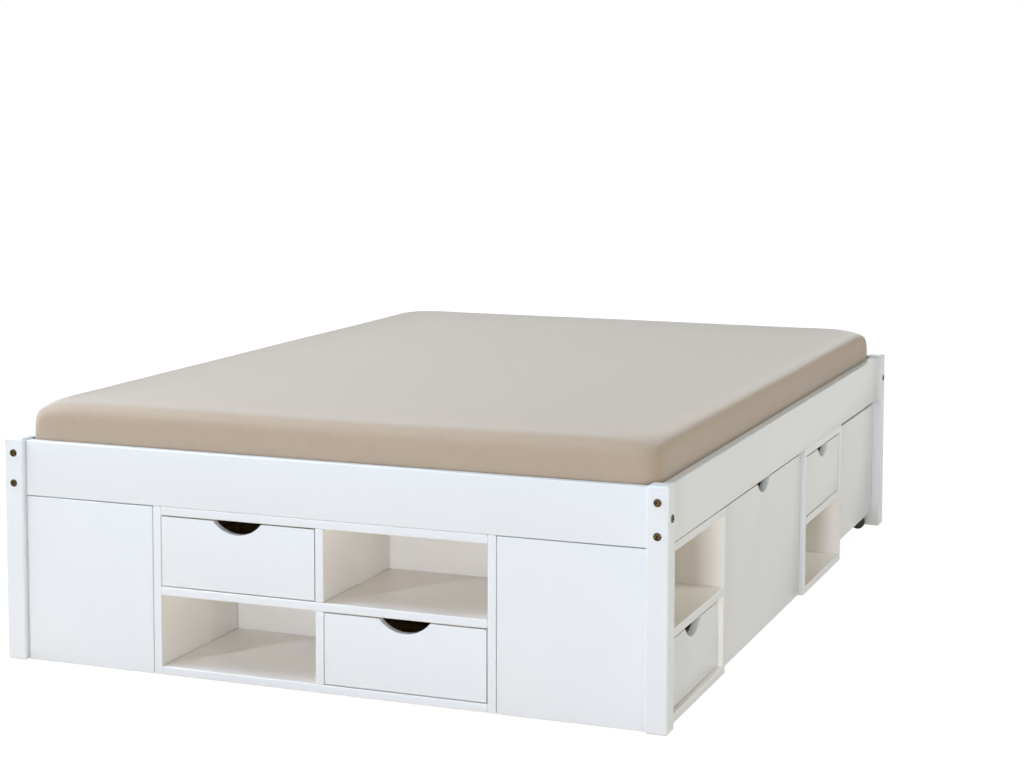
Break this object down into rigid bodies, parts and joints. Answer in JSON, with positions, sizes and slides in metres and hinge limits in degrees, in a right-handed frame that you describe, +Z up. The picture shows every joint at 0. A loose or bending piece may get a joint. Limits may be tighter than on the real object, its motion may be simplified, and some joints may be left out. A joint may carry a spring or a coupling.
{
  "type": "platform bed with storage drawers",
  "caption": "Low platform bed with a mattress on slats, notched drawers and open compartments at the foot end and sides, and boxes that roll out.",
  "frame": {"origin": "on the floor, under the middle of the bed", "axes": "+Z up, -Y towards the foot end, +X towards the right long side seen from the foot end"},
  "size_m": [1.48, 2.08, 0.5586],
  "materials": {
    "lacquered_wood": "white satin lacquer",
    "pale_wood": "plain planed pine",
    "mattress_cover": "smooth fitted cotton jersey",
    "wheel_plastic": "black, matt"
  },
  "bodies": {
    "frame": {"centre_support": "pale_wood", "foot_cabinet_back": "lacquered_wood", "foot_cabinet_bottom": "lacquered_wood", "foot_cabinet_divider": "lacquered_wood", "foot_cabinet_shelf": "lacquered_wood", "foot_cabinet_side_left": "lacquered_wood", "foot_cabinet_side_right": "lacquered_wood", "foot_cabinet_top": "lacquered_wood", "foot_panel_left": "lacquered_wood", "foot_panel_right": "lacquered_wood", "left_foot_cabinet": "lacquered_wood", "left_middle_cabinet": "lacquered_wood", "mattress": "mattress_cover", "post_foot_left": "lacquered_wood", "post_foot_right": "lacquered_wood", "post_head_left": "lacquered_wood", "post_head_right": "lacquered_wood", "rail_foot": "lacquered_wood", "rail_head": "lacquered_wood", "rail_left": "lacquered_wood", "rail_right": "lacquered_wood", "right_foot_cabinet": "lacquered_wood", "right_middle_cabinet": "lacquered_wood", "slat_base": "pale_wood"},
    "foot_lower_drawer": {"foot_lower_drawer_front": "lacquered_wood", "foot_lower_drawer_tray": "pale_wood"},
    "foot_upper_drawer": {"foot_upper_drawer_front": "lacquered_wood", "foot_upper_drawer_tray": "pale_wood"},
    "left_foot_drawer": {"left_foot_drawer_front": "lacquered_wood", "left_foot_drawer_tray": "pale_wood"},
    "left_head_box": {"left_head_box_front": "lacquered_wood", "left_head_box_tray": "pale_wood"},
    "left_head_box_wheel_1": {"left_head_box_wheel_1": "wheel_plastic"},
    "left_head_box_wheel_2": {"left_head_box_wheel_2": "wheel_plastic"},
    "left_head_box_wheel_3": {"left_head_box_wheel_3": "wheel_plastic"},
    "left_head_box_wheel_4": {"left_head_box_wheel_4": "wheel_plastic"},
    "left_large_box": {"left_large_box_front": "lacquered_wood", "left_large_box_tray": "pale_wood"},
    "left_large_box_wheel_1": {"left_large_box_wheel_1": "wheel_plastic"},
    "left_large_box_wheel_2": {"left_large_box_wheel_2": "wheel_plastic"},
    "left_large_box_wheel_3": {"left_large_box_wheel_3": "wheel_plastic"},
    "left_large_box_wheel_4": {"left_large_box_wheel_4": "wheel_plastic"},
    "left_middle_drawer": {"left_middle_drawer_front": "lacquered_wood", "left_middle_drawer_tray": "pale_wood"},
    "right_foot_drawer": {"right_foot_drawer_front": "lacquered_wood", "right_foot_drawer_tray": "pale_wood"},
    "right_head_box": {"right_head_box_front": "lacquered_wood", "right_head_box_tray": "pale_wood"},
    "right_head_box_wheel_1": {"right_head_box_wheel_1": "wheel_plastic"},
    "right_head_box_wheel_2": {"right_head_box_wheel_2": "wheel_plastic"},
    "right_head_box_wheel_3": {"right_head_box_wheel_3": "wheel_plastic"},
    "right_head_box_wheel_4": {"right_head_box_wheel_4": "wheel_plastic"},
    "right_large_box": {"right_large_box_front": "lacquered_wood", "right_large_box_tray": "pale_wood"},
    "right_large_box_wheel_1": {"right_large_box_wheel_1": "wheel_plastic"},
    "right_large_box_wheel_2": {"right_large_box_wheel_2": "wheel_plastic"},
    "right_large_box_wheel_3": {"right_large_box_wheel_3": "wheel_plastic"},
    "right_large_box_wheel_4": {"right_large_box_wheel_4": "wheel_plastic"},
    "right_middle_drawer": {"right_middle_drawer_front": "lacquered_wood", "right_middle_drawer_tray": "pale_wood"}
  },
  "joints": [
    {"name": "foot_upper_drawer_slide", "type": "slide", "parent": "frame", "child": "foot_upper_drawer", "axis": [0, -1, 0], "range_m": [0, 0.22]},
    {"name": "foot_lower_drawer_slide", "type": "slide", "parent": "frame", "child": "foot_lower_drawer", "axis": [0, -1, 0], "range_m": [0, 0.22]},
    {"name": "right_foot_drawer_slide", "type": "slide", "parent": "frame", "child": "right_foot_drawer", "axis": [1, 0, 0], "range_m": [0, 0.22]},
    {"name": "right_middle_drawer_slide", "type": "slide", "parent": "frame", "child": "right_middle_drawer", "axis": [1, 0, 0], "range_m": [0, 0.22]},
    {"name": "right_large_box_slide", "type": "slide", "parent": "frame", "child": "right_large_box", "axis": [1, 0, 0], "range_m": [0, 0.5]},
    {"name": "right_large_box_wheel_1_spin", "type": "hinge", "parent": "right_large_box", "child": "right_large_box_wheel_1", "pos_m": [0.6767, -0.529, 0.0185], "axis": [0, 1, 0], "range_deg": [0, 1560]},
    {"name": "right_large_box_wheel_2_spin", "type": "hinge", "parent": "right_large_box", "child": "right_large_box_wheel_2", "pos_m": [0.145, -0.529, 0.0185], "axis": [0, 1, 0], "range_deg": [0, 1560]},
    {"name": "right_large_box_wheel_3_spin", "type": "hinge", "parent": "right_large_box", "child": "right_large_box_wheel_3", "pos_m": [0.6767, 0.074, 0.0185], "axis": [0, 1, 0], "range_deg": [0, 1560]},
    {"name": "right_large_box_wheel_4_spin", "type": "hinge", "parent": "right_large_box", "child": "right_large_box_wheel_4", "pos_m": [0.145, 0.074, 0.0185], "axis": [0, 1, 0], "range_deg": [0, 1560]},
    {"name": "right_head_box_slide", "type": "slide", "parent": "frame", "child": "right_head_box", "axis": [1, 0, 0], "range_m": [0, 0.5]},
    {"name": "right_head_box_wheel_1_spin", "type": "hinge", "parent": "right_head_box", "child": "right_head_box_wheel_1", "pos_m": [0.6917, 0.596, 0.0185], "axis": [0, 1, 0], "range_deg": [0, 1560]},
    {"name": "right_head_box_wheel_2_spin", "type": "hinge", "parent": "right_head_box", "child": "right_head_box_wheel_2", "pos_m": [0.145, 0.596, 0.0185], "axis": [0, 1, 0], "range_deg": [0, 1560]},
    {"name": "right_head_box_wheel_3_spin", "type": "hinge", "parent": "right_head_box", "child": "right_head_box_wheel_3", "pos_m": [0.6917, 0.939, 0.0185], "axis": [0, 1, 0], "range_deg": [0, 1560]},
    {"name": "right_head_box_wheel_4_spin", "type": "hinge", "parent": "right_head_box", "child": "right_head_box_wheel_4", "pos_m": [0.145, 0.939, 0.0185], "axis": [0, 1, 0], "range_deg": [0, 1560]},
    {"name": "left_foot_drawer_slide", "type": "slide", "parent": "frame", "child": "left_foot_drawer", "axis": [-1, 0, 0], "range_m": [0, 0.22]},
    {"name": "left_middle_drawer_slide", "type": "slide", "parent": "frame", "child": "left_middle_drawer", "axis": [-1, 0, 0], "range_m": [0, 0.22]},
    {"name": "left_large_box_slide", "type": "slide", "parent": "frame", "child": "left_large_box", "axis": [-1, 0, 0], "range_m": [0, 0.5]},
    {"name": "left_large_box_wheel_1_spin", "type": "hinge", "parent": "left_large_box", "child": "left_large_box_wheel_1", "pos_m": [-0.6767, -0.529, 0.0185], "axis": [0, -1, 0], "range_deg": [0, 1560]},
    {"name": "left_large_box_wheel_2_spin", "type": "hinge", "parent": "left_large_box", "child": "left_large_box_wheel_2", "pos_m": [-0.145, -0.529, 0.0185], "axis": [0, -1, 0], "range_deg": [0, 1560]},
    {"name": "left_large_box_wheel_3_spin", "type": "hinge", "parent": "left_large_box", "child": "left_large_box_wheel_3", "pos_m": [-0.6767, 0.074, 0.0185], "axis": [0, -1, 0], "range_deg": [0, 1560]},
    {"name": "left_large_box_wheel_4_spin", "type": "hinge", "parent": "left_large_box", "child": "left_large_box_wheel_4", "pos_m": [-0.145, 0.074, 0.0185], "axis": [0, -1, 0], "range_deg": [0, 1560]},
    {"name": "left_head_box_slide", "type": "slide", "parent": "frame", "child": "left_head_box", "axis": [-1, 0, 0], "range_m": [0, 0.5]},
    {"name": "left_head_box_wheel_1_spin", "type": "hinge", "parent": "left_head_box", "child": "left_head_box_wheel_1", "pos_m": [-0.6917, 0.596, 0.0185], "axis": [0, -1, 0], "range_deg": [0, 1560]},
    {"name": "left_head_box_wheel_2_spin", "type": "hinge", "parent": "left_head_box", "child": "left_head_box_wheel_2", "pos_m": [-0.145, 0.596, 0.0185], "axis": [0, -1, 0], "range_deg": [0, 1560]},
    {"name": "left_head_box_wheel_3_spin", "type": "hinge", "parent": "left_head_box", "child": "left_head_box_wheel_3", "pos_m": [-0.6917, 0.939, 0.0185], "axis": [0, -1, 0], "range_deg": [0, 1560]},
    {"name": "left_head_box_wheel_4_spin", "type": "hinge", "parent": "left_head_box", "child": "left_head_box_wheel_4", "pos_m": [-0.145, 0.939, 0.0185], "axis": [0, -1, 0], "range_deg": [0, 1560]}
  ],
  "couplings": [
    {"joint": "right_large_box_wheel_1_spin", "follows": "right_large_box_slide", "rad_per_m": 54.054},
    {"joint": "right_large_box_wheel_2_spin", "follows": "right_large_box_slide", "rad_per_m": 54.054},
    {"joint": "right_large_box_wheel_3_spin", "follows": "right_large_box_slide", "rad_per_m": 54.054},
    {"joint": "right_large_box_wheel_4_spin", "follows": "right_large_box_slide", "rad_per_m": 54.054},
    {"joint": "right_head_box_wheel_1_spin", "follows": "right_head_box_slide", "rad_per_m": 54.054},
    {"joint": "right_head_box_wheel_2_spin", "follows": "right_head_box_slide", "rad_per_m": 54.054},
    {"joint": "right_head_box_wheel_3_spin", "follows": "right_head_box_slide", "rad_per_m": 54.054},
    {"joint": "right_head_box_wheel_4_spin", "follows": "right_head_box_slide", "rad_per_m": 54.054},
    {"joint": "left_large_box_wheel_1_spin", "follows": "left_large_box_slide", "rad_per_m": 54.054},
    {"joint": "left_large_box_wheel_2_spin", "follows": "left_large_box_slide", "rad_per_m": 54.054},
    {"joint": "left_large_box_wheel_3_spin", "follows": "left_large_box_slide", "rad_per_m": 54.054},
    {"joint": "left_large_box_wheel_4_spin", "follows": "left_large_box_slide", "rad_per_m": 54.054},
    {"joint": "left_head_box_wheel_1_spin", "follows": "left_head_box_slide", "rad_per_m": 54.054},
    {"joint": "left_head_box_wheel_2_spin", "follows": "left_head_box_slide", "rad_per_m": 54.054},
    {"joint": "left_head_box_wheel_3_spin", "follows": "left_head_box_slide", "rad_per_m": 54.054},
    {"joint": "left_head_box_wheel_4_spin", "follows": "left_head_box_slide", "rad_per_m": 54.054}
  ]
}
